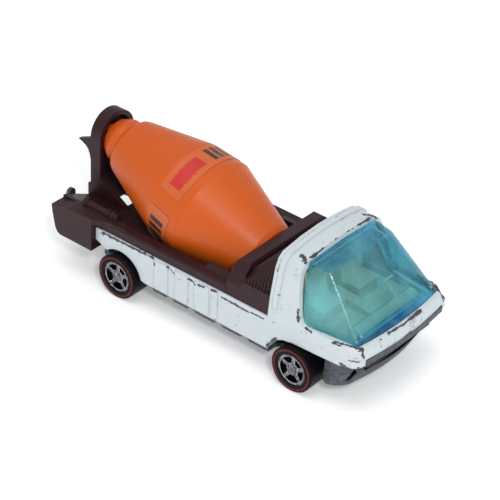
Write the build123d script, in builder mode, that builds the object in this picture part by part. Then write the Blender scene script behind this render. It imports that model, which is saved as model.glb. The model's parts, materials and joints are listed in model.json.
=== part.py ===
from build123d import *
import math
import os

os.makedirs("parts", exist_ok=True)

# Toy cement mixer lorry. Millimetres, +X forward, +Z up, the road at Z = 0, symmetric about Y = 0.
# Profiles are written from the middle of the wheelbase, which lies MID ahead of the overall middle.
MID = 2.825
half_wheelbase = 25.15
front_axle_x = MID + half_wheelbase
rear_axle_x = MID - half_wheelbase

# wheels
wheel_r = 5.4
wheel_face_y = 17.6
wheel_width = 5.6
axle_r = 0.5
bush_bore_r = 0.55
bush_r = 1.6
hub_r = 3.7
hub_recess = 1.5

# white casting
side_y = 16.24
wall = 1.2
skirt_low_z = 6.54
skirt_top_z = 14.76
cab_rear_x = 17.1
strip_rear_x = -32.6
arch_r = 6.3

# glazing
glass = 1.1
glass_front_x = 38.7
glass_low_z = 16.1

# drum: the axis rises to the rear, stations run along it from the point above x = 0
drum_tilt = 15.55
drum_axis_z = 16.8
drum_wall = 1.0
front_stub_r = 1.8
rear_stub_r = 1.4
running_gap = 0.05

# mixer bed
rail_y = 15.9
rail_top_z = 17.0
box_y = 17.6
box_top_z = 17.35
leg_out_y = 5.6
leg_in_y = 4.4
hoop_z = 28.65
yoke_rear_x = -44.2
yoke_front_x = -41.2


def px(points):
    """Shift profile points from the middle of the wheelbase into the part's frame."""
    return [(x + MID, z) for x, z in points]


def side_shape(points, half_width, mode=Mode.ADD, from_y=0.0):
    """Extrude a side profile to both sides, or as two slabs between from_y and half_width."""
    for side in (1, -1):
        with BuildSketch(Plane.XZ.offset(side * from_y)) as outline:
            with BuildLine():
                Polyline(*px(points), close=True)
            make_face()
        if from_y == 0.0:
            extrude(outline.sketch, amount=half_width, both=True, mode=mode)
            break
        extrude(outline.sketch, amount=side * (half_width - from_y), mode=mode)


def both_sides(right):
    """Mirror the outline points of the +Y side to make one closed symmetric section."""
    return right + [(-y, z) for y, z in reversed(right) if y > 0]


def section_shape(right, x0, x1, mode=Mode.ADD):
    """Extrude a symmetric cross-section from x0 to x1."""
    with BuildSketch(Plane.YZ.offset(MID + x0)) as outline:
        with BuildLine():
            Polyline(*both_sides(right), close=True)
        make_face()
    extrude(outline.sketch, amount=x1 - x0, mode=mode)


def one_side_section(points, x0, x1, mode=Mode.ADD):
    """Extrude a cross-section and its mirror image from x0 to x1."""
    for side in (1, -1):
        with BuildSketch(Plane.YZ.offset(MID + x0)) as outline:
            with BuildLine():
                Polyline(*[(side * y, z) for y, z in points], close=True)
            make_face()
        extrude(outline.sketch, amount=x1 - x0, mode=mode)


def slab(x0, x1, y0, y1, z0, z1, mode=Mode.ADD):
    """A box between the given limits."""
    with Locations((MID + (x0 + x1) / 2, (y0 + y1) / 2, (z0 + z1) / 2)):
        Box(x1 - x0, y1 - y0, z1 - z0, mode=mode)


def rod_y(x, y0, y1, z, r, mode=Mode.ADD):
    """A cylinder along Y."""
    with Locations((x, (y0 + y1) / 2, z)):
        Cylinder(r, abs(y1 - y0), rotation=(90, 0, 0), mode=mode)


def nose_outline(front_mid, front_side, half_front, half_rear, rear_x, split_x=27.2):
    """Plan outline of the cowl: bowed front, sides that close in ahead of split_x."""
    with BuildLine() as outline:
        ThreePointArc((MID + front_side, -half_front), (MID + front_mid, 0), (MID + front_side, half_front))
        Line((MID + front_side, half_front), (MID + split_x, half_rear))
        Line((MID + split_x, half_rear), (MID + rear_x, half_rear))
        Line((MID + rear_x, half_rear), (MID + rear_x, -half_rear))
        Line((MID + rear_x, -half_rear), (MID + split_x, -half_rear))
        Line((MID + split_x, -half_rear), (MID + front_side, -half_front))
    make_face(outline.edges())


def cab_section(inset):
    """Cross-section of the cab's pillars and crowned roof, moved in by inset."""
    return [(side_y - inset, 10.0), (side_y - inset, 14.9), (15.65 - inset, 19.7), (14.2 - inset, 26.3),
            (13.3 - inset, 28.3 - inset * 0.6), (11.9 - inset, 29.35 - inset), (6.0, 30.2 - inset),
            (0.0, 30.45 - inset)]


def spin_axis():
    """Frame of the drum: origin above x = 0, Z along the axis to the rear and up."""
    t = math.radians(drum_tilt)
    return Plane(origin=(MID, 0, drum_axis_z), x_dir=(math.sin(t), 0, math.cos(t)),
                 z_dir=(-math.cos(t), 0, math.sin(t)))


def spin(profile, mode=Mode.ADD, arc=360.0, start=0.0):
    """Revolve (radius, station) points about the drum's axis."""
    base = spin_axis()
    turned = Plane(origin=base.origin, x_dir=base.x_dir.rotate(Axis(base.origin, base.z_dir), start),
                   z_dir=base.z_dir)
    flat = Plane(origin=turned.origin, x_dir=turned.x_dir, z_dir=-turned.y_dir)
    with BuildSketch(flat) as outline:
        with BuildLine():
            Polyline(*profile, close=True)
        make_face()
    revolve(outline.sketch, axis=Axis(base.origin, base.z_dir), revolution_arc=arc, mode=mode)


# outer line of the drum as (radius, station), front to rear
front_line = [(5.9, -4.3), (7.2, -3.9), (7.85, -3.0), (12.76, 13.5)]
rear_line = [(12.76, 13.5), (11.85, 22.5), (7.1, 37.5), (6.7, 38.3), (5.5, 39.3), (5.3, 39.8), (5.4, 40.3),
             (5.3, 41.0), (4.75, 42.0), (4.2, 42.8), (3.9, 43.3), (3.5, 43.5)]
seam = 13.5
band_front, band_rear = 15.4, 21.8


def line_at(s):
    """Radius of the drum's band at station s."""
    return 12.76 + (11.85 - 12.76) * (s - 13.5) / (22.5 - 13.5)


def wheel_tyre(side, x):
    """Black wheel with its flat outer face at side * wheel_face_y."""
    rod_y(x, side * (wheel_face_y - wheel_width), side * wheel_face_y, wheel_r, wheel_r)
    chamfer(edges().filter_by(GeomType.CIRCLE), length=0.25)
    rod_y(x, side * (wheel_face_y - hub_recess), side * (wheel_face_y + 1), wheel_r, hub_r + 0.03, Mode.SUBTRACT)
    rod_y(x, side * (wheel_face_y - wheel_width - 1), side * (wheel_face_y - wheel_width + 2.4), wheel_r, 4.3,
          Mode.SUBTRACT)
    rod_y(x, side * 10.0, side * 18.0, wheel_r, bush_r + 0.02, Mode.SUBTRACT)


def wheel_hub(side, x):
    """Chrome five-spoke insert standing in the wheel's recess."""
    floor = wheel_face_y - hub_recess
    rod_y(x, side * floor, side * (floor + 1.3), wheel_r, hub_r)
    rod_y(x, side * (floor - 1), side * (floor + 2), wheel_r, 3.15, Mode.SUBTRACT)
    rod_y(x, side * floor, side * (floor + 0.95), wheel_r, 1.55)
    with Locations(Location((x, side * (floor + 0.4), wheel_r), (90, 0, 0))):
        with PolarLocations(0, 5, start_angle=90):
            with Locations((2.25, 0, 0)):
                Box(2.1, 0.85, 0.8)
    rod_y(x, side * (floor - 1), side * (floor + 0.5), wheel_r, 1.3, Mode.SUBTRACT)


def wheel_bush(side, x):
    """White flanged bearing sleeve between the axle and the wheel."""
    rod_y(x, side * 12.3, side * 15.75, wheel_r, bush_r)
    rod_y(x, side * 11.9, side * 12.3, wheel_r, bush_r + 0.5)
    rod_y(x, side * 11.0, side * 17.0, wheel_r, bush_bore_r, Mode.SUBTRACT)


def axle_wire(x):
    """Steel wire with a rolled head at each end."""
    rod_y(x, -16.1, 16.1, wheel_r, axle_r)
    for side in (1, -1):
        rod_y(x, side * 15.9, side * 16.2, wheel_r, 0.9)


# ---------------------------------------------------------------- white casting
with BuildPart() as cab_void:
    side_shape([(18.3, 5.0), (18.3, 31.0), (27.5, 31.0), (41.5, 16.0), (41.2, 5.0)], 20)
    section_shape(cab_section(wall), 10.0, 45.0, Mode.INTERSECT)

with BuildPart() as cab_shell:
    side_shape([(cab_rear_x, 12.0), (cab_rear_x, 14.8), (16.9, 31.0), (23.1, 31.0), (23.3, 29.4), (24.2, 23.0),
                (25.4, 17.9), (26.1, 17.0), (27.4, 16.5), (27.4, 12.0)], 20)
    section_shape(cab_section(0.0), 10.0, 30.0, Mode.INTERSECT)
    add(cab_void.part, mode=Mode.SUBTRACT)

with BuildPart() as cab_hoop:
    section_shape([(y + 0.35, z + (0.35 if z > 20 else 0)) for y, z in cab_section(0.0)], 18.1, 19.4)
    section_shape(cab_section(wall * 0.6), 10.0, 30.0, Mode.SUBTRACT)
    slab(10, 30, -20, 20, 0, 17.6, Mode.SUBTRACT)

with BuildPart() as cowl_void:
    with BuildSketch(Plane.XY.offset(14.2)):
        nose_outline(41.1, 39.6, 14.9, 15.5, 17.9)
    with BuildSketch(Plane.XY.offset(16.85)):
        nose_outline(40.5, 39.4, 13.9, 15.3, 17.9)
    loft(ruled=True)

with BuildPart() as cowl:
    with BuildSketch(Plane.XY.offset(14.3)):
        nose_outline(42.2, 41.2, 14.3, side_y, 17.1, 38.8)
    with BuildSketch(Plane.XY.offset(16.0)):
        nose_outline(41.75, 40.7, 14.0, 15.95, 17.1, 38.2)
    with BuildSketch(Plane.XY.offset(16.75)):
        nose_outline(41.2, 40.3, 13.9, 15.8, 17.1, 37.6)
    loft(ruled=True)
    add(cowl_void.part, mode=Mode.SUBTRACT)

with BuildPart() as cab_body:
    # skirts, belt and the arches over the front wheels
    side_shape([(strip_rear_x, 11.7), (strip_rear_x, skirt_top_z), (cab_rear_x, skirt_top_z), (cab_rear_x, 14.3),
                (42.3, 14.3), (42.3, 13.0), (41.8, 12.7), (38.0, 12.5), (36.4, 11.75), (24.0, 11.2), (21.4, 10.75),
                (19.3, 9.7), (18.0, 8.2), (17.3, skirt_low_z), (-18.0, skirt_low_z), (-25.15, 8.5)], side_y)
    rod_y(rear_axle_x, -20, 20, wheel_r, arch_r, Mode.SUBTRACT)
    # raised panels along the skirts
    for x0, x1 in ((-15.0, -10.9), (-8.9, -5.0), (-3.3, 0.9), (1.6, 3.4)):
        for side in (1, -1):
            slab(x0, x1, side * side_y - 0.22, side * side_y + 0.22, 6.9, 14.3)
    # trim the front to a bowed plan
    with BuildSketch(Plane.XY):
        with BuildLine():
            ThreePointArc((MID + 41.2, -14.2), (MID + 42.3, 0), (MID + 41.2, 14.2))
            Polyline((MID + 41.2, 14.2), (MID + 40.7, 15.5), (MID + 39.8, 16.2), (MID + 38.6, 17), (60, 17),
                     (60, -17), (MID + 38.6, -17), (MID + 39.8, -16.2), (MID + 40.7, -15.5), (MID + 41.2, -14.2))
        make_face()
    extrude(amount=40, mode=Mode.SUBTRACT)
    # room for the bare lip of the base between the corners
    slab(30, 50, -13.45, 13.45, 0, 14.1, Mode.SUBTRACT)
    # hollow out the skirts and the belt
    slab(-40, cab_rear_x - 0.1, -side_y + wall, side_y - wall, 0, 20, Mode.SUBTRACT)
    with BuildSketch(Plane.XY.offset(5.0)):
        nose_outline(41.1, 39.6, 14.9, 14.9, 17.9)
    extrude(amount=9.5, mode=Mode.SUBTRACT)
    # cowl closing in round the foot of the glazing
    add(cowl.part)
    # pillars and roof with the raised hoop along the rear edge
    add(cab_shell.part)
    add(cab_hoop.part)
    # cross members and the two posts that are peened flush with the base
    slab(-32.6, -28.2, -side_y + wall - 0.1, side_y - wall + 0.1, 11.75, 12.8)
    slab(15.0, 18.4, -side_y + wall - 0.1, side_y - wall + 0.1, 11.4, 12.8)
    for post_x, r in ((-30.4, 1.9), (16.7, 1.7)):
        with Locations((MID + post_x, 0, 8.4)):
            Cylinder(r, 6.9)
        with Locations((MID + post_x, 0, 4.7)):
            Cylinder(r - 0.5, 1.6)
cab_body.part.label = "cab_body"
export_step(cab_body.part, "parts/cab_body.step")

# ---------------------------------------------------------------- unpainted base
with BuildPart() as chin:
    side_shape([(31.4, 4.6), (32.4, 4.0), (36.4, 4.6), (38.3, 5.0), (39.0, 6.0), (40.2, 8.4), (42.2, 12.5),
                (40.0, 13.3), (36.6, 11.6), (31.8, 11.3)], 14.7)
    # round its corners along the slope of its front
    with BuildSketch(Plane.XY):
        with BuildLine():
            ThreePointArc((MID + 34.6, -10.2), (MID + 35.8, 0), (MID + 34.6, 10.2))
            ThreePointArc((MID + 34.6, 10.2), (MID + 33.4, 13.3), (MID + 30.4, 14.7))
            Polyline((MID + 30.4, 14.7), (MID + 20, 14.9), (MID + 20, -14.9), (MID + 30.4, -14.7))
            ThreePointArc((MID + 30.4, -14.7), (MID + 33.4, -13.3), (MID + 34.6, -10.2))
        make_face()
    extrude(amount=18, dir=(0.454, 0, 0.891), mode=Mode.INTERSECT)
    with BuildSketch(Plane.XY.offset(12.4)):
        with BuildLine():
            ThreePointArc((MID + 41.5, -13.35), (MID + 42.3, 0), (MID + 41.5, 13.35))
            Polyline((MID + 41.5, 13.35), (MID + 38.9, 13.35), (MID + 38.9, -13.35), (MID + 41.5, -13.35))
        make_face()
    extrude(amount=1.6)

with BuildPart() as base_plate:
    slab(-35.0, 33.0, -10.8, 10.8, 3.9, 4.9)
    # flanks under the skirts with scalloped lower edges
    one_side_section([(10.4, 3.9), (11.0, 3.9), (13.0, 4.85), (15.2, 4.85), (15.2, 6.4), (14.9, 6.5), (12.6, 6.5),
                      (10.4, 4.9)], -17.6, 17.0)
    for x in (-17.2, -11.1, -4.9, 2.9, 10.4):
        rod_y(MID + x, -20, 20, 3.95, 1.55, Mode.SUBTRACT)
    slab(-35.0, 33.0, -10.8, 10.8, 3.9, 4.9)
    # chin with a recessed grille, a lower bar and a lip
    add(chin.part)
    side_shape([(32.6, 4.9), (37.0, 6.2), (38.6, 9.0), (38.6, 13.0), (32.6, 10.4)], 13.4, Mode.SUBTRACT)
    side_shape([(39.4, 8.6), (44.0, 8.6), (44.0, 12.5), (40.3, 12.5)], 12.6, Mode.SUBTRACT)
    for z in (9.5, 10.5, 11.5):
        slab(39.0, 40.0 + (z - 9.5) * 0.3, -11.2, 11.2, z - 0.15, z + 0.15)
    # saddles that carry the axles
    for x in (-half_wheelbase, half_wheelbase):
        for y in (-8.0, 8.0):
            slab(x - 1.5, x + 1.5, y - 1.0, y + 1.0, 4.8, 6.6)
        slab(x - axle_r, x + axle_r, -12, 12, 4.9, 7.0, Mode.SUBTRACT)
    # rear prongs that hook up behind the bed
    for side in (1, -1):
        slab(-46.3, -33.0, side * 10.4 - 1.1, side * 10.4 + 1.1, 9.7, 10.7)
        slab(-34.0, -33.0, side * 10.4 - 1.1, side * 10.4 + 1.1, 4.0, 10.7)
        slab(-46.3, -45.4, side * 10.4 - 1.1, side * 10.4 + 1.1, 9.7, 15.6)
        with Locations((MID - 45.85, side * 10.4, 15.6)):
            Cylinder(1.1, 0.9, rotation=(0, 90, 0))
    for post_x in (-30.4, 16.7):
        with Locations((MID + post_x, 0, 4.4)):
            Cylinder(1.45, 3, mode=Mode.SUBTRACT)
base_plate.part.label = "base_plate"
export_step(base_plate.part, "parts/base_plate.step")

# ---------------------------------------------------------------- glazing
with BuildPart() as windshield:
    side_shape([(21.9, glass_low_z), (23.5, 29.2), (28.7, 28.5), (glass_front_x, 17.3), (glass_front_x, glass_low_z)],
               20)
    for side in (1, -1):
        face = Plane(origin=(MID + 28.7, side * 10.7, 28.5), z_dir=(0.114, side * 0.935, 0.336))
        split(bisect_by=face, keep=Keep.BOTTOM)
    open_faces = [faces().sort_by(Axis.Z)[0], faces().sort_by(Axis.X)[0]]
    offset(amount=-glass, openings=open_faces)
    # flat foot round the front
    with BuildSketch(Plane.XY.offset(glass_low_z)):
        nose_outline(40.4, 39.25, 13.7, 14.6, 24.5)
        with BuildSketch(mode=Mode.SUBTRACT):
            nose_outline(glass_front_x - 0.95, glass_front_x - 1.05, 12.3, 13.8, 23.0)
    extrude(amount=0.8)
    # keep clear of the roof and pillars
    side_shape([(20.0, 14.0), (20.0, 32.0), (23.4, 32.0), (23.4, 29.35), (24.3, 23.0), (25.6, 17.8),
                (26.3, 17.0), (27.6, 16.4), (27.6, 14.0)], 20, Mode.SUBTRACT)
    # gate pegs in the front corners
    for side in (1, -1):
        with Locations((MID + 38.6, side * 12.2, 17.3)):
            Cylinder(0.5, 1.6)
windshield.part.label = "windshield"
export_step(windshield.part, "parts/windshield.step")

# ---------------------------------------------------------------- cab interior
with BuildPart() as cab_interior:
    slab(19.0, 37.2, -13.2, 13.2, 13.2, 14.2)
    slab(19.0, 20.0, -13.2, 13.2, 13.2, 19.0)
    side_shape([(34.4, 14.0), (34.0, 16.6), (35.0, 17.4), (36.6, 17.2), (37.2, 15.8), (37.2, 14.0)], 10.2)
    for y in (-6.0, 6.0):
        slab(21.2, 27.2, y - 3.6, y + 3.6, 14.0, 17.0)
        with BuildSketch(Plane.XZ.offset(-y)):
            with BuildLine():
                Polyline(*px([(19.8, 15.0), (19.6, 23.6), (21.2, 24.2), (22.4, 17.0), (22.4, 15.0)]), close=True)
            make_face()
        extrude(amount=3.6, both=True)
    side_shape([(22.0, 14.0), (22.0, 16.4), (32.0, 15.6), (34.6, 15.6), (34.6, 14.0)], 1.4)
    # steering wheel moulded on its column
    rim_plane = Plane(origin=(MID + 31.2, 6.0, 19.0), z_dir=(-0.8, 0, 0.6))
    with BuildSketch(rim_plane):
        Circle(2.3)
        Circle(1.75, mode=Mode.SUBTRACT)
        Rectangle(4.2, 0.5)
        Rectangle(0.5, 4.2)
        Circle(0.7)
    extrude(amount=0.5)
    with BuildSketch(rim_plane):
        Circle(0.45)
    extrude(amount=-4.6)
cab_interior.part.label = "cab_interior"
export_step(cab_interior.part, "parts/cab_interior.step")


# ---------------------------------------------------------------- mixer bed
def wedge_section(t, inset=0.0):
    """Section of the drum's front rest, growing from the low band (t = 0) to the cab (t = 1)."""
    top = 21.7 + 6.0 * t
    return [(15.6 - 0.4 * t - inset, 19.6), (15.1 - 0.5 * t - inset, 19.6 + (top - 19.6) * 0.35),
            (13.4 - 0.2 * t - inset, top - 1.5 - inset), (11.6 + 0.2 * t - inset, top - inset), (0.0, top - inset)]


with BuildPart() as rest_band:
    side_shape([(4.6, 12.9), (4.8, 15.0), (5.3, 19.0), (5.8, 22.3), (9.0, 22.7), (9.4, 22.0), (9.4, 12.9)], 20)
    section_shape([(14.9, 12.0), (14.9, 14.8), (rail_y, 14.8), (15.6, 18.0), (14.4, 21.0), (13.1, 22.3),
                   (12.2, 22.75), (0.0, 23.0)], 0.0, 12.0, Mode.INTERSECT)

with BuildPart() as mixer_bed:
    # rails with a low deck between them
    section_shape([(0.0, 12.9), (14.9, 12.9), (14.9, 14.8), (rail_y, 14.8), (rail_y, 16.7), (15.5, rail_top_z),
                   (13.0, 16.8), (12.4, 15.6), (12.0, 13.9), (0.0, 13.9)], -34.3, 5.0)
    # closed boxes behind the rear wheels
    for side in (1, -1):
        with BuildSketch(Plane.XZ.offset(-side * 13.9)):
            with BuildLine():
                Polyline(*px([(-32.75, 9.0), (-42.4, 9.0), (-43.3, 9.4), (-43.9, 10.4), (-44.7, 14.0), (-45.0, 16.2),
                              (-44.7, 16.5), (-39.5, box_top_z), (-32.75, box_top_z)]), close=True)
            make_face()
        extrude(amount=-side * (box_y - 13.9))
    one_side_section([(14.2, box_top_z - 0.1), (13.9, 12.0), (13.9, 11.8), (5.2, 11.8), (5.2, 13.2), (13.3, 17.1)],
                     -44.6, -34.0)
    # rail flare from the boxes forward
    for side in (1, -1):
        with BuildSketch(Plane.XY.offset(15.9)):
            with BuildLine():
                Polyline(*[(MID + x, side * y) for x, y in ((-32.8, 13.5), (-32.8, box_y), (-31.8, 17.0),
                                                            (-29.5, rail_y), (-24.0, rail_y - 0.3), (-26.0, 13.5))],
                         close=True)
            make_face()
        extrude(amount=box_top_z - 15.9)
    # yoke: legs, hoop and back wall
    with BuildSketch(Plane.YZ.offset(MID + yoke_rear_x)):
        with Locations((0, hoop_z)):
            Circle(leg_out_y)
        with Locations((0, (hoop_z + 9.2) / 2)):
            Rectangle(2 * leg_out_y, hoop_z - 9.2)
    extrude(amount=yoke_front_x - yoke_rear_x)
    slab(-45.0, -41.2, -leg_out_y, leg_out_y, 9.2, 16.3)
    with BuildSketch(Plane.YZ.offset(MID + yoke_rear_x + 1.2)):
        with Locations((0, hoop_z)):
            Circle(leg_in_y)
        with Locations((0, (hoop_z + 5) / 2)):
            Rectangle(2 * leg_in_y, hoop_z - 5)
    extrude(amount=6, mode=Mode.SUBTRACT)
    # braces from the legs down to the deck
    side_shape([(-41.4, 11.8), (-41.4, 19.6), (-40.9, 18.4), (-38.9, 17.3), (-33.0, 13.9), (-32.0, 12.9),
                (-33.5, 12.9), (-34.2, 11.8)], leg_out_y, from_y=leg_in_y)
    # cheeks of the discharge chute and its floor
    side_shape([(-43.9, 28.75), (-47.95, 26.95), (-46.9, 26.6), (-45.8, 26.1), (-45.0, 25.4), (-44.5, 24.2),
                (-44.1, 22.4), (-43.9, 22.4)], leg_out_y, from_y=leg_in_y + 0.2)
    side_shape([(-43.9, 25.6), (-45.4, 24.7), (-45.2, 23.9), (-43.9, 24.3)], leg_in_y + 0.3)
    # front rest: smooth band, ribbed slope up to the cab
    add(rest_band.part)
    section_shape([(14.9, 12.9), (14.9, 14.8), (rail_y, 14.8), (15.6, 19.7), (0.0, 19.7)], 9.3, 16.9)
    ribs = 9
    pitch = (16.9 - 9.3) / ribs
    for i in range(ribs):
        section_shape(wedge_section(i / (ribs - 1), 0.25), 9.3 + i * pitch, 9.3 + (i + 0.55) * pitch)
        section_shape(wedge_section(i / (ribs - 1)), 9.3 + (i + 0.5) * pitch, 9.3 + (i + 1) * pitch)
    # sloped lugs beside the drum's foot
    one_side_section([(11.9, 15.0), (11.9, 17.5), (14.2, 16.8), (14.2, 15.0)], -2.7, 5.0)
    # tubes lying along the inner edge of the boxes
    for side in (1, -1):
        for x0, x1, r in ((-38.6, -28.4, 1.0), (-38.3, -37.4, 1.25), (-31.3, -30.7, 1.25), (-30.1, -29.3, 1.25)):
            with Locations((MID + (x0 + x1) / 2, side * 13.3, 17.5)):
                Cylinder(r, x1 - x0, rotation=(0, 90, 0))
    # room for the turning drum and the bores for its stubs
    spin([(0, -4.8), (6.3, -4.8), (8.4, -3.4), (13.35, 13.4), (12.45, 22.6), (7.75, 37.8), (0, 37.8)], Mode.SUBTRACT)
    spin([(0, -9.0), (front_stub_r + running_gap, -9.0), (front_stub_r + running_gap, 0), (0, 0)], Mode.SUBTRACT)
    spin([(0, 40.0), (rear_stub_r + running_gap, 40.0), (rear_stub_r + running_gap, 50.0), (0, 50.0)],
         Mode.SUBTRACT)
mixer_bed.part.label = "mixer_bed"
export_step(mixer_bed.part, "parts/mixer_bed.step")

# ---------------------------------------------------------------- drum
with BuildPart() as drum_front:
    spin([(0, -4.3)] + front_line + [(0, seam)])
    spin([(0, -3.3), (5.6, -3.3), (6.85, -2.8), (11.76, 13.5), (11.76, 20), (0, 20)], Mode.SUBTRACT)
    spin([(10.4, 12.0), (11.8, 12.0), (11.8, 13.4), (11.65, 13.5), (11.53, 14.6), (10.8, 14.6)])
    spin([(0, -8.2), (front_stub_r, -8.2), (front_stub_r, -3.4), (0, -3.4)])
drum_front.part.label = "drum_front"
export_step(drum_front.part, "parts/drum_front.step")

with BuildPart() as drum_rear:
    spin([(0, seam)] + rear_line + [(0, 43.5)])
    spin([(0, 10.0), (11.7, 10.0), (11.7, 13.5), (10.85, 22.3), (6.1, 37.2), (5.5, 38.3), (4.3, 39.4), (4.2, 40.2),
          (4.0, 41.0), (3.0, 42.4), (0, 42.4)], Mode.SUBTRACT)
    spin([(0, 43.0), (rear_stub_r, 43.0), (rear_stub_r, 45.6), (0, 45.6)])
drum_rear.part.label = "drum_rear"
export_step(drum_rear.part, "parts/drum_rear.step")

# two clear labels wrapped on the drum's band, opposite each other
label_t = 0.08
label_lift = 0.02
label_start, label_arc = 302, 160


def band_label(start, arc):
    """A thin film wrapped on the band from angle start through arc."""
    low, high = line_at(band_front) + label_lift, line_at(band_rear) + label_lift
    spin([(low, band_front), (low + label_t, band_front), (high + label_t, band_rear), (high, band_rear)],
         arc=arc, start=start)


with BuildPart() as label_a:
    band_label(label_start, label_arc)
label_a.part.label = "label_a"
export_step(label_a.part, "parts/label_a.step")

with BuildPart() as label_b:
    band_label(label_start - 180, label_arc)
label_b.part.label = "label_b"
export_step(label_b.part, "parts/label_b.step")

# ---------------------------------------------------------------- axles
with BuildPart() as axle_front:
    axle_wire(front_axle_x)
axle_front.part.label = "axle_front"
export_step(axle_front.part, "parts/axle_front.step")

with BuildPart() as axle_rear:
    axle_wire(rear_axle_x)
axle_rear.part.label = "axle_rear"
export_step(axle_rear.part, "parts/axle_rear.step")

# ---------------------------------------------------------------- wheels, front left
with BuildPart() as wheel_fl:
    wheel_tyre(1, front_axle_x)
wheel_fl.part.label = "wheel_fl"
export_step(wheel_fl.part, "parts/wheel_fl.step")

with BuildPart() as hub_fl:
    wheel_hub(1, front_axle_x)
hub_fl.part.label = "hub_fl"
export_step(hub_fl.part, "parts/hub_fl.step")

with BuildPart() as bush_fl:
    wheel_bush(1, front_axle_x)
bush_fl.part.label = "bush_fl"
export_step(bush_fl.part, "parts/bush_fl.step")

# ---------------------------------------------------------------- wheels, front right
with BuildPart() as wheel_fr:
    wheel_tyre(-1, front_axle_x)
wheel_fr.part.label = "wheel_fr"
export_step(wheel_fr.part, "parts/wheel_fr.step")

with BuildPart() as hub_fr:
    wheel_hub(-1, front_axle_x)
hub_fr.part.label = "hub_fr"
export_step(hub_fr.part, "parts/hub_fr.step")

with BuildPart() as bush_fr:
    wheel_bush(-1, front_axle_x)
bush_fr.part.label = "bush_fr"
export_step(bush_fr.part, "parts/bush_fr.step")

# ---------------------------------------------------------------- wheels, rear left
with BuildPart() as wheel_rl:
    wheel_tyre(1, rear_axle_x)
wheel_rl.part.label = "wheel_rl"
export_step(wheel_rl.part, "parts/wheel_rl.step")

with BuildPart() as hub_rl:
    wheel_hub(1, rear_axle_x)
hub_rl.part.label = "hub_rl"
export_step(hub_rl.part, "parts/hub_rl.step")

with BuildPart() as bush_rl:
    wheel_bush(1, rear_axle_x)
bush_rl.part.label = "bush_rl"
export_step(bush_rl.part, "parts/bush_rl.step")

# ---------------------------------------------------------------- wheels, rear right
with BuildPart() as wheel_rr:
    wheel_tyre(-1, rear_axle_x)
wheel_rr.part.label = "wheel_rr"
export_step(wheel_rr.part, "parts/wheel_rr.step")

with BuildPart() as hub_rr:
    wheel_hub(-1, rear_axle_x)
hub_rr.part.label = "hub_rr"
export_step(hub_rr.part, "parts/hub_rr.step")

with BuildPart() as bush_rr:
    wheel_bush(-1, rear_axle_x)
bush_rr.part.label = "bush_rr"
export_step(bush_rr.part, "parts/bush_rr.step")
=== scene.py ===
import json
import math

import bmesh
import bpy
from mathutils import Matrix, Vector

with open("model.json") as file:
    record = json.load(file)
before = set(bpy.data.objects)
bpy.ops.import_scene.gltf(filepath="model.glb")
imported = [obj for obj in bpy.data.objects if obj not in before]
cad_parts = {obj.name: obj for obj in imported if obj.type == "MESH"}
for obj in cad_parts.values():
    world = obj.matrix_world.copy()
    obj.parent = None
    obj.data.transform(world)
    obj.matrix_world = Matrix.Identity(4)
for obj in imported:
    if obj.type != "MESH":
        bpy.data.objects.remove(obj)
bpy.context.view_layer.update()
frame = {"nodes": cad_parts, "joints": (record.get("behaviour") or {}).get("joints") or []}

nodes = frame["nodes"]
MM = 0.001

# axis that the drum turns on, as the record gives it
drum_joint = next(j for j in frame["joints"] if j["name"] == "drum_spin")
drum_origin = Vector(drum_joint["pos_m"])
drum_axis = Vector(drum_joint["axis"]).normalized()
drum_side = Vector((0, 1, 0))
drum_up = drum_side.cross(drum_axis).normalized()


def linear(r, g, b):
    """sRGB bytes to a linear colour."""
    def one(v):
        v /= 255
        return v / 12.92 if v <= 0.04045 else ((v + 0.055) / 1.055) ** 2.4
    return (one(r), one(g), one(b), 1.0)


# ---------------------------------------------------------------- materials

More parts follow.
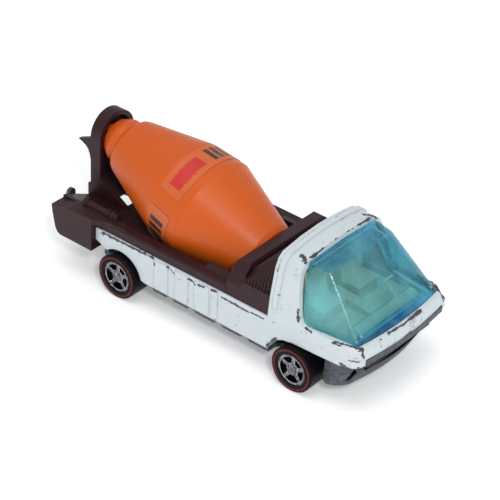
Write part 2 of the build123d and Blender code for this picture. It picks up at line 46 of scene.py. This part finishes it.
class Look:
    """One node material, built with short calls. Positions are object positions in metres."""

    def __init__(self, name, **sockets):
        self.mat = bpy.data.materials.new(name)
        self.mat.use_nodes = True
        self.tree = self.mat.node_tree
        self.bsdf = self.tree.nodes["Principled BSDF"]
        for key, value in sockets.items():
            self.bsdf.inputs[key.replace("_", " ")].default_value = value
        self.pos = self.add("ShaderNodeTexCoord").outputs["Object"]

    def add(self, kind, inputs=None, **props):
        node = self.tree.nodes.new(kind)
        for key, value in props.items():
            setattr(node, key, value)
        for key, value in (inputs or {}).items():
            self.feed(node.inputs[key], value)
        return node

    def feed(self, socket, value):
        if isinstance(value, bpy.types.NodeSocket):
            self.tree.links.new(value, socket)
        else:
            socket.default_value = value

    def set(self, name, value):
        self.feed(self.bsdf.inputs[name], value)

    def calc(self, op, *values):
        node = self.add("ShaderNodeMath", operation=op)
        for socket, value in zip(node.inputs, values):
            self.feed(socket, value)
        return node.outputs[0]

    def vec(self, op, *values):
        node = self.add("ShaderNodeVectorMath", operation=op)
        for socket, value in zip(node.inputs, values):
            self.feed(socket, value)
        return node.outputs["Value" if op in ("DOT_PRODUCT", "LENGTH", "DISTANCE") else "Vector"]

    def span(self, value, low, high, out_low=0.0, out_high=1.0):
        """Value mapped from low..high to out_low..out_high, clamped."""
        node = self.add("ShaderNodeMapRange", {"Value": value, "From Min": low, "From Max": high,
                                               "To Min": out_low, "To Max": out_high})
        return node.outputs["Result"]

    def noise(self, per_mm, detail=3.0, rough=0.5, stretch=None):
        """Noise of 0 to 1 with so many features to the millimetre."""
        vector = self.pos if stretch is None else self.vec("MULTIPLY", self.pos, stretch)
        node = self.add("ShaderNodeTexNoise", {"Vector": vector, "Scale": per_mm / MM,
                                               "Detail": detail, "Roughness": rough})
        return node.outputs["Fac"]

    def blend(self, factor, a, b):
        node = self.add("ShaderNodeMix", data_type="RGBA")
        for socket, value in ((node.inputs[0], factor), (node.inputs[6], a), (node.inputs[7], b)):
            self.feed(socket, value)
        return node.outputs[2]

    def shade(self, colour, amount, factor):
        """Colour varied by a few percent up and down with factor."""
        dark = tuple(c * (1 - amount) for c in colour[:3]) + (1,)
        light = tuple(min(c * (1 + amount), 1) for c in colour[:3]) + (1,)
        return self.blend(factor, dark, light)

    def axis(self, name):
        return self.add("ShaderNodeSeparateXYZ", {"Vector": self.pos}).outputs[name]

    def rounded(self, radius_mm):
        """Normal of the surface with its edges shaded round."""
        return self.add("ShaderNodeBevel", {"Radius": radius_mm * MM}, samples=6).outputs["Normal"]

    def edge(self, radius_mm):
        """About 0 on flat faces, rising at outside and inside edges."""
        flat = self.add("ShaderNodeNewGeometry").outputs["Normal"]
        return self.calc("SUBTRACT", 1.0, self.vec("DOT_PRODUCT", self.rounded(radius_mm), flat))

    def near(self, centre_mm, radius_mm):
        """1 at a point, falling to 0 at a distance."""
        point = tuple(c * MM for c in centre_mm)
        return self.span(self.vec("DISTANCE", self.pos, point), 0.0, radius_mm * MM, 1.0, 0.0)

    def strip(self, a_mm, b_mm, radius_mm):
        """1 on the line between two points, falling to 0 at a distance from it."""
        a, b = Vector(a_mm) * MM, Vector(b_mm) * MM
        along, length = (b - a).normalized(), (b - a).length
        away = self.vec("SUBTRACT", self.pos, tuple(a))
        reach = self.span(self.vec("DOT_PRODUCT", away, tuple(along)), 0.0, length, 0.0, length)
        foot = self.add("ShaderNodeVectorMath", {0: tuple(along), 3: reach}, operation="SCALE")
        return self.span(self.vec("DISTANCE", away, foot.outputs["Vector"]), 0.0, radius_mm * MM, 1.0, 0.0)

    def one_side(self):
        """Position with the right-hand side folded onto the left, for marks that both sides have."""
        apart = self.add("ShaderNodeSeparateXYZ", {"Vector": self.pos}).outputs
        folded = self.add("ShaderNodeCombineXYZ", {
            "X": apart["X"], "Y": self.calc("ABSOLUTE", apart["Y"]), "Z": apart["Z"]})
        return folded.outputs["Vector"]

    def product(self, *values):
        """The values multiplied together."""
        result = values[0]
        for value in values[1:]:
            result = self.calc("MULTIPLY", result, value)
        return result

    def most(self, values):
        """The largest of several values."""
        top = values[0]
        for value in values[1:]:
            top = self.calc("MAXIMUM", top, value)
        return top

    def relief(self, height, strength, depth_mm, round_mm=0.0):
        """Bump, over edges that are shaded round where round_mm is given."""
        inputs = {"Height": height, "Strength": strength, "Distance": depth_mm * MM}
        if round_mm:
            inputs["Normal"] = self.rounded(round_mm)
        self.set("Normal", self.add("ShaderNodeBump", inputs).outputs["Normal"])


# lines along which the enamel is chipped, the same on both sides: two ends and a reach, in millimetres
CHIP_LINES = [
    ((24.0, 10.6, 29.4), (26.4, 12.2, 29.3), 0.9), ((26.4, 12.2, 29.3), (27.4, 13.9, 27.0), 0.8),
    ((25.8, 10.2, 29.6), (26.2, 5.5, 30.2), 0.6), ((26.2, 3.8, 30.3), (26.4, 0.0, 30.4), 0.5),
    ((27.4, 15.7, 19.9), (28.0, 15.9, 17.2), 0.6), ((29.9, 16.1, 16.6), (31.4, 15.8, 16.2), 0.55),
    ((37.6, 15.8, 16.5), (43.1, 14.0, 16.7), 0.75), ((43.3, 13.8, 16.5), (43.7, 14.0, 14.6), 0.6),
    ((43.8, 5.6, 16.5), (44.1, 0.0, 16.5), 0.6), ((43.6, 8.0, 16.3), (43.5, 10.8, 16.0), 0.5),
    ((43.8, 13.8, 14.1), (45.1, 0.0, 14.1), 0.33), ((39.5, 16.3, 12.4), (43.6, 15.3, 12.9), 0.5),
    ((41.6, 16.3, 14.3), (43.6, 15.2, 14.4), 0.3), ((-27.5, 16.3, 14.3), (-12.6, 16.3, 14.5), 0.62),
    ((-12.6, 16.5, 14.4), (-12.0, 16.5, 13.2), 0.5), ((-8.1, 16.4, 14.2), (-6.5, 16.4, 13.4), 0.5),
    ((-2.2, 16.4, 14.0), (-0.2, 16.5, 13.5), 0.5), ((0.7, 16.5, 13.8), (2.3, 16.5, 14.0), 0.4),
    ((4.4, 16.4, 14.2), (6.1, 16.4, 14.5), 0.45), ((7.3, 16.3, 13.6), (14.8, 16.3, 13.4), 0.45),
    ((15.5, 16.3, 13.6), (18.9, 16.3, 13.7), 0.3), ((20.2, 16.3, 7.2), (22.4, 16.3, 10.4), 0.6),
    ((20.8, 14.4, 26.0), (20.9, 13.2, 28.0), 0.5), ((20.7, 9.0, 30.3), (20.7, 0.0, 30.7), 0.4),
]


def paint_look():
    """White enamel, grimy in places and chipped to dark metal."""
    look = Look("white_enamel", Coat_Weight=0.3, Coat_Roughness=0.1)
    # chips: a ragged threshold, raised along the worn lines and on every edge
    there, look.pos = look.pos, look.one_side()
    lines = look.most([look.strip(*line) for line in CHIP_LINES])
    look.pos = there
    coarse = look.noise(0.75, 3, 0.55)
    fine = look.noise(2.6, 4, 0.65)
    grain = look.calc("ADD", look.product(coarse, 0.5), look.product(fine, 0.5))
    edge = look.product(look.span(look.edge(0.25), 0.03, 0.3), look.span(look.noise(0.3, 2), 0.45, 0.65))
    push = look.calc("MAXIMUM", look.product(lines, 0.3), look.product(edge, 0.12))
    chipped = look.span(look.calc("ADD", grain, push), 0.62, 0.64)
    # one patch in the middle of the nose is rubbed thin
    rubbed = look.product(look.near((44.5, 1.9, 15.7), 2.6), look.span(fine, 0.44, 0.56))
    rubbed = look.product(look.span(rubbed, 0.15, 0.5), 0.5)
    colour = look.shade(linear(194, 203, 207), 0.03, look.noise(0.12, 2))
    grime = look.span(look.noise(0.5, 4, 0.6), 0.55, 0.8, 0.0, 0.12)
    colour = look.blend(grime, colour, linear(150, 156, 152))
    colour = look.blend(rubbed, colour, linear(112, 114, 108))
    colour = look.blend(chipped, colour, look.blend(fine, linear(24, 26, 32), linear(62, 66, 74)))
    look.set("Base Color", colour)
    look.set("Roughness", look.span(chipped, 0, 1, 0.27, 0.55))
    height = look.calc("SUBTRACT", look.product(look.noise(0.9, 2), 0.2), chipped)
    look.relief(height, 0.5, 0.06, 0.35)
    return look.mat


def casting_look():
    """Bare zinc, mottled, with painted shade darkening the grille's recess below the lip."""
    look = Look("bare_zinc", Metallic=0.75)
    mottled = look.noise(0.9, 5, 0.65)
    colour = look.blend(look.span(mottled, 0.3, 0.7), linear(52, 56, 61), linear(104, 111, 117))
    # painted shade: the grille's recess below the lip is made darker in the colour
    painted_recess_shade = look.product(look.span(look.axis("X"), 40.0 * MM, 42.0 * MM),
                        look.span(look.axis("Z"), 12.2 * MM, 12.8 * MM, 0.7, 0.0))
    look.set("Base Color", look.blend(painted_recess_shade, colour, linear(26, 27, 30)))
    look.set("Roughness", look.span(mottled, 0.3, 0.7, 0.38, 0.6))
    look.relief(look.noise(2.4, 4, 0.6), 0.35, 0.08, 0.2)
    return look.mat


# lines of painted highlight on the glazing, on both sides, as two ends and a reach in millimetres
FRONT_CREASE = ((31.53, 10.75, 28.5), (41.4, 13.5, 17.4), 0.42)
TOP_CREASE = ((31.53, 10.7, 28.5), (31.53, 0.0, 28.5), 0.3)
CORNER_PEG = ((41.6, 12.2, 18.0), (41.6, 12.2, 16.8), 0.45)


def glazing_look():
    """Clear blue moulding: tinted see-through walls, with haze from age and painted highlights on its
    creases and pegs, deeper in its thick foot.
    """
    look = Look("clear_blue")
    foot = look.product(look.span(look.axis("Z"), 17.0 * MM, 18.2 * MM, 1.0, 0.0),
                        look.span(look.axis("X"), 40.5 * MM, 42.5 * MM, 0.25, 1.0))
    wavy = look.span(look.noise(0.22, 3, 0.6), 0.35, 0.65)
    tint = look.blend(wavy, (0.93, 0.97, 0.98, 1), (1.0, 0.99, 0.99, 1))
    tint = look.blend(foot, tint, (0.38, 0.78, 0.90, 1))
    # painted highlights on the creases and pegs, and a milky patch in each side pane
    there, look.pos = look.pos, look.one_side()
    highlight_lines = (FRONT_CREASE, TOP_CREASE, CORNER_PEG)
    front, top, peg = [look.span(look.strip(*line), 0.25, 0.6) for line in highlight_lines]
    milky = look.near((31.5, 14.2, 21.6), 7.0)
    look.pos = there
    # speckle of the painted highlight, brighter towards the top
    sparkle = look.product(look.span(look.noise(2.4, 4, 0.7), 0.4, 0.62, 0.12, 1.0),
                           look.span(look.axis("Z"), 20.0 * MM, 28.0 * MM, 0.55, 1.25))
    # painted highlight: a near-white line along the front crease, fainter along the top crease, and a spot
    # on each peg
    crease = look.calc("MAXIMUM", look.product(front, 0.75), look.product(top, 0.12))
    painted_highlight = look.calc("MAXIMUM", look.product(crease, sparkle), look.product(peg, 0.5))
    smoky = look.span(look.noise(0.16, 4, 0.6, (1, 1, 0.6)), 0.38, 0.68, 0.02, 0.16)
    haze = look.calc("ADD", smoky, look.product(milky, 0.3))
    # see-through wall, then the haze and the painted highlights on it, then the gloss
    clear = look.add("ShaderNodeBsdfTransparent", {"Color": tint})
    # the diffuse layer is near-white where the painted highlight lies
    haze_and_highlight = look.add("ShaderNodeBsdfDiffuse", {
        "Color": look.blend(painted_highlight, (0.32, 0.84, 0.84, 1), (0.95, 1, 1, 1))})
    bump = look.add("ShaderNodeBump", {"Height": look.noise(0.5, 3), "Strength": 0.3, "Distance": 0.15 * MM})
    gloss = look.add("ShaderNodeBsdfGlossy", {
        "Color": (0.92, 0.98, 1.0, 1), "Normal": bump.outputs["Normal"],
        "Roughness": look.span(look.noise(1.2, 3), 0.4, 0.7, 0.05, 0.14)})
    mirror = look.add("ShaderNodeFresnel", {"IOR": 1.35, "Normal": bump.outputs["Normal"]})
    hazed_and_highlit = look.add("ShaderNodeMixShader", {
        0: look.calc("MAXIMUM", haze, painted_highlight), 1: clear.outputs["BSDF"], 2: haze_and_highlight.outputs["BSDF"]})
    mix = look.add("ShaderNodeMixShader", {
        0: look.product(mirror.outputs["Fac"], 0.75), 1: hazed_and_highlit.outputs["Shader"], 2: gloss.outputs["BSDF"]})
    volume = look.add("ShaderNodeVolumeAbsorption", {"Color": (0.2, 0.8, 0.925, 1), "Density": 600.0})
    out = look.tree.nodes["Material Output"]
    look.feed(out.inputs["Surface"], mix.outputs["Shader"])
    look.feed(out.inputs["Volume"], volume.outputs["Volume"])
    look.tree.nodes.remove(look.bsdf)
    return look.mat


def plastic_look(name, colour, rough, vary=0.05, grain=0.12, **sockets):
    """Moulded plastic or wire: slightly uneven colour, scuffed gloss and rounded edges."""
    look = Look(name, **sockets)
    broad = look.noise(0.18, 3, 0.55)
    look.set("Base Color", look.shade(colour, vary, broad))
    scuffs = look.span(look.noise(1.1, 5, 0.7, (1, 0.3, 1)), 0.5, 0.75)
    look.set("Roughness", look.span(scuffs, 0, 1, rough, rough + 0.14))
    look.relief(look.noise(2.0, 3), grain, 0.05, 0.2)
    return look.mat


# the ring painted on the wheels, only on what is farther out than RING_FROM_Y, in millimetres
RING_RADIUS, RING_HALF_WIDTH, RING_FROM_Y = 4.72, 0.2, 17.5


def ring_look(name, joint_name):
    """Black wheel with one thin red ring painted round its face."""
    look = Look(name, Specular_IOR_Level=0.1)
    axle = next(j["pos_m"] for j in frame["joints"] if j["name"] == joint_name)
    centre = (axle[0], 0, axle[2])
    flat = look.vec("MULTIPLY", look.vec("SUBTRACT", look.pos, centre), (1, 0, 1))
    off_line = look.calc("SUBTRACT", look.calc("DIVIDE", look.vec("LENGTH", flat), MM), RING_RADIUS)
    ring = look.calc("LESS_THAN", look.calc("ABSOLUTE", off_line), RING_HALF_WIDTH)
    worn = look.span(look.noise(1.4, 4, 0.6), 0.36, 0.5, 0.35, 1.0)
    face = look.calc("GREATER_THAN", look.calc("ABSOLUTE", look.axis("Y")), RING_FROM_Y * MM)
    ring = look.product(ring, worn, face)
    black = look.shade(linear(12, 10, 14), 0.25, look.noise(0.6, 3))
    look.set("Base Color", look.blend(ring, black, linear(112, 36, 34)))
    look.set("Roughness", look.span(look.noise(1.2, 4), 0.3, 0.7, 0.34, 0.5))
    look.relief(look.noise(2.5, 2), 0.15, 0.04, 0.25)
    return look.mat


# where the labels lie: the angle that label_b starts at, half a turn from label_a, the angle that
# each covers, and the stations between which they run along the drum's axis, in millimetres. The
# printing is placed in degrees from a film's start and in the same stations.
LABEL_START, LABEL_ARC, LABEL_STATIONS = 122.0, 160.0, (15.4, 21.8)
BLOCK_ARC, BLOCK_STATIONS = (9.0, 50.0), (16.9, 20.2)
BARS_ARC, BARS_STATIONS, BAR_PITCH = (62.0, 152.0), (16.6, 20.6), 10.0


def label_look():
    """Clear film with a faint edge, printed with one red block and a row of dark bars."""
    look = Look("printed_film")
    away = look.vec("SUBTRACT", look.pos, tuple(drum_origin))
    station = look.calc("DIVIDE", look.vec("DOT_PRODUCT", away, tuple(drum_axis)), MM)
    turn = look.calc("ARCTAN2", look.vec("DOT_PRODUCT", away, tuple(drum_side)),
                     look.vec("DOT_PRODUCT", away, tuple(drum_up)))
    # degrees along either film from its start
    along = look.calc("ADD", look.calc("DEGREES", turn), 720.0 - LABEL_START)
    along = look.calc("MODULO", along, 180.0)
    worn = look.noise(1.6, 4, 0.65)
    ragged = look.product(look.calc("SUBTRACT", worn, 0.5), 1.6)

    def inside(value, low, high, soft):
        """1 from low to high with soft ends."""
        rise = look.span(value, low - soft, low + soft)
        fall = look.span(value, high - soft, high + soft, 1.0, 0.0)
        return look.product(rise, fall)

    block = look.product(inside(look.calc("ADD", station, ragged), *BLOCK_STATIONS, 0.12),
                         inside(along, *BLOCK_ARC, 0.5), look.span(worn, 0.25, 0.45, 0.72, 0.92))
    bars = look.product(inside(look.calc("PINGPONG", along, BAR_PITCH / 2), 1.7, 5.5, 0.3),
                        inside(station, *BARS_STATIONS, 0.1), inside(along, *BARS_ARC, 0.3),
                        look.span(worn, 0.32, 0.42, 0.4, 1.0))
    middle = look.product(inside(station, LABEL_STATIONS[0] + 0.15, LABEL_STATIONS[1] - 0.15, 0.1),
                          inside(along, 0.8, LABEL_ARC - 0.8, 0.5))
    rim = look.calc("SUBTRACT", 1.0, middle)
    film = look.shade(linear(198, 90, 34), 0.06, look.noise(0.3, 3))
    film = look.blend(look.product(rim, 0.4), film, linear(160, 74, 34))
    film = look.blend(block, film, linear(190, 26, 28))
    look.set("Base Color", look.blend(bars, film, linear(52, 36, 36)))
    look.set("Roughness", look.span(worn, 0.3, 0.7, 0.36, 0.5))
    look.relief(look.noise(1.0, 3), 0.12, 0.05)
    return look.mat


def chrome_look():
    """Vacuum-plated plastic, its colour kept dark as a painted reflection of dark surroundings, uneven in
    spots, with a painted highlight on its edges.
    """
    look = Look("plated_chrome", Metallic=1.0)
    spots = look.noise(1.3, 5, 0.65)
    # painted highlight: the edges are made near-white in the colour
    painted_edge_highlight = look.span(look.edge(0.3), 0.05, 0.3)
    # painted reflection: the plate colour is kept dark, mixed in spots, to stand in for reflected dark
    # surroundings
    plate = look.blend(look.span(spots, 0.42, 0.62), linear(72, 72, 80), linear(150, 152, 158))
    look.set("Base Color", look.blend(painted_edge_highlight, plate, linear(225, 228, 232)))
    look.set("Roughness", look.span(spots, 0.3, 0.7, 0.12, 0.32))
    look.relief(look.noise(2.2, 3), 0.2, 0.05, 0.12)
    return look.mat


# the longest key that a node's name starts with gives its material
looks = {
    "cab_body": paint_look(),
    "base_plate": casting_look(),
    "windshield": glazing_look(),
    "cab_interior": plastic_look("cream_plastic", linear(210, 194, 164), 0.55, 0.16),
    "mixer_bed": plastic_look("maroon_plastic", linear(46, 22, 26), 0.42, 0.16, Specular_IOR_Level=0.25),
    "axle": plastic_look("steel_wire", linear(170, 170, 172), 0.3, 0.05, Metallic=1.0),
    "drum": plastic_look("orange_plastic", linear(198, 85, 20), 0.37, 0.05, 0.14, Specular_IOR_Level=0.3),
    "label": label_look(),
    "hub": chrome_look(),
    "bush": plastic_look("bearing_plastic", linear(222, 222, 214), 0.45),
    "wheel_f": ring_look("black_front", "wheel_fl_spin"),
    "wheel_r": ring_look("black_rear", "wheel_rl_spin"),
}
for name, node in nodes.items():
    match = max((key for key in looks if name.startswith(key)), key=len)
    node.data.materials.clear()
    node.data.materials.append(looks[match])


# ---------------------------------------------------------------- stage, light and camera

# what the lights point at, in metres
LIT_MIDDLE = Vector((0, 0, 0.015))
# the photograph's camera, solved on the wheels, the skirt and the cab: the point that it looks at
# and what that is moved by, in millimetres, then angles in degrees and the distance in metres
VIEW_AIM, VIEW_RIGHT, VIEW_DOWN = Vector((1.275, 0.03, 15.1)), 0.176, 0.088
VIEW_AZIMUTH, VIEW_ELEVATION, VIEW_ROLL, VIEW_DISTANCE = 38.5, 34.17, 2.57, 0.4742


def stage_floor():
    """Pale floor, wide enough to fill every view."""
    mesh = bpy.data.meshes.new("floor")
    work = bmesh.new()
    bmesh.ops.create_grid(work, x_segments=2, y_segments=2, size=3.0)
    work.to_mesh(mesh)
    work.free()
    floor = bpy.data.objects.new("floor", mesh)
    bpy.context.scene.collection.objects.link(floor)
    look = Look("pale_floor", Roughness=0.85, Emission_Color=(1, 1, 1, 1), Emission_Strength=0.22)
    look.set("Base Color", look.shade((0.9, 0.9, 0.9, 1), 0.01, look.noise(0.01, 2)))
    mesh.materials.append(look.mat)


def direction(azimuth, elevation):
    a, e = math.radians(azimuth), math.radians(elevation)
    return Vector((math.sin(a) * math.cos(e), -math.cos(a) * math.cos(e), math.sin(e)))


def area_light(name, azimuth, elevation, distance, size, watts):
    """Round white light on the object, with its distance and size in metres."""
    data = bpy.data.lights.new(name, "AREA")
    data.shape, data.size, data.energy = "DISK", size, watts
    light = bpy.data.objects.new(name, data)
    away = direction(azimuth, elevation)
    light.location = LIT_MIDDLE + away * distance
    light.rotation_euler = away.to_track_quat("Z", "Y").to_euler()
    bpy.context.scene.collection.objects.link(light)


def camera():
    """Camera at the photograph's viewing angle, with its slight roll."""
    back = direction(VIEW_AZIMUTH, VIEW_ELEVATION)
    level = back.to_track_quat("Z", "Y").to_matrix()
    roll = math.radians(VIEW_ROLL)
    right = level.col[0] * math.cos(roll) + level.col[1] * math.sin(roll)
    up = back.cross(right)
    aim = (VIEW_AIM + right * VIEW_RIGHT - up * VIEW_DOWN) * MM
    place = Matrix.Translation(aim + back * VIEW_DISTANCE)
    data = bpy.data.cameras.new("camera")
    data.sensor_width, data.lens = 36.0, 154.84
    data.clip_start, data.clip_end = 0.01, 20
    cam = bpy.data.objects.new("camera", data)
    cam.matrix_world = place @ Matrix((right, up, back)).transposed().to_4x4()
    bpy.context.scene.collection.objects.link(cam)
    bpy.context.scene.camera = cam


stage_floor()
world = bpy.data.worlds.new("soft_white")
world.use_nodes = True
background = world.node_tree.nodes["Background"]
background.inputs["Color"].default_value = (0.96, 0.98, 1.0, 1)
background.inputs["Strength"].default_value = 0.68
bpy.context.scene.world = world
area_light("key", azimuth=48, elevation=41, distance=0.6, size=0.09, watts=1.2)
area_light("top", azimuth=20, elevation=80, distance=0.8, size=0.5, watts=1.6)
camera()
bpy.context.scene.view_settings.view_transform = "Standard"
